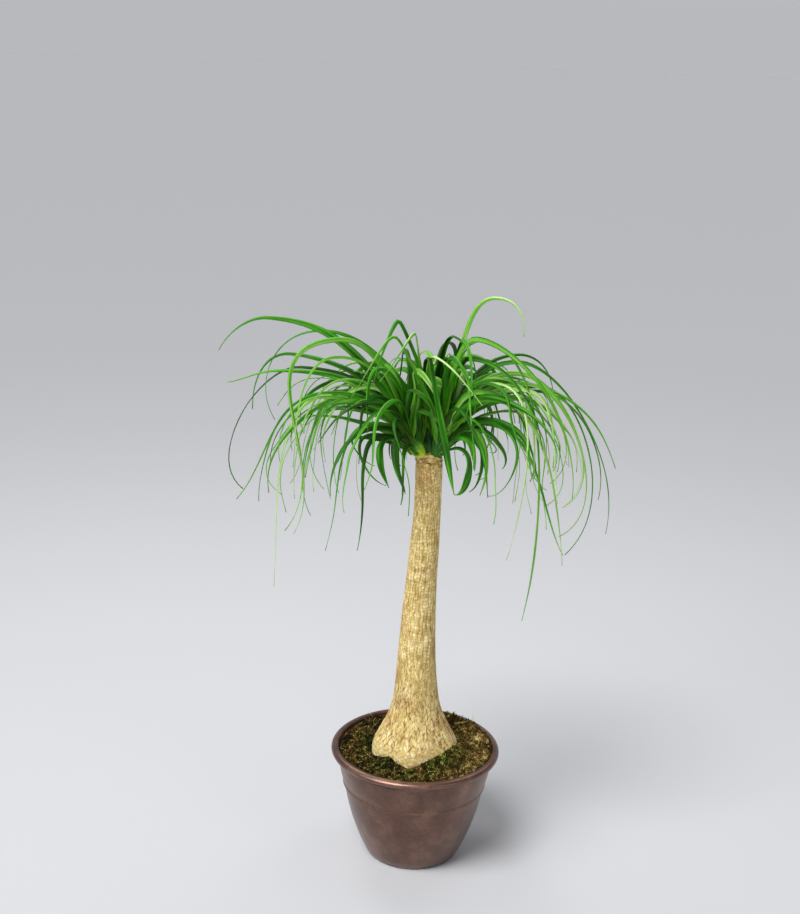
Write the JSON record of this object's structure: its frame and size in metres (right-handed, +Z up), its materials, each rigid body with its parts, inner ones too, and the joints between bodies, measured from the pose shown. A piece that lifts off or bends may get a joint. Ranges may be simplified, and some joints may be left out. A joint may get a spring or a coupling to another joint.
{
  "type": "potted ponytail palm",
  "caption": "Potted ponytail palm: bare trunk with a swollen base in a round rolled-rim pot topped with moss, and heads of long arching strap leaves on its cut top.",
  "frame": {"origin": "centre of the pot's flat underside, on the surface that the pot stands on", "axes": "+Z up along the pot's and the trunk's axis; the plant's front, the side that the picture shows, looks along -Y; +X to the right as seen from the front"},
  "size_m": [0.6216, 0.447, 0.9532],
  "materials": {
    "pot": "satin",
    "potting_mix": "matte",
    "moss_topping": "matte",
    "trunk": "matte",
    "leaf_crown": "satin"
  },
  "bodies": {
    "root": {"pot": "pot", "potting_mix": "potting_mix", "moss_topping": "moss_topping", "trunk": "trunk", "leaf_crown": "leaf_crown"}
  },
  "joints": []
}
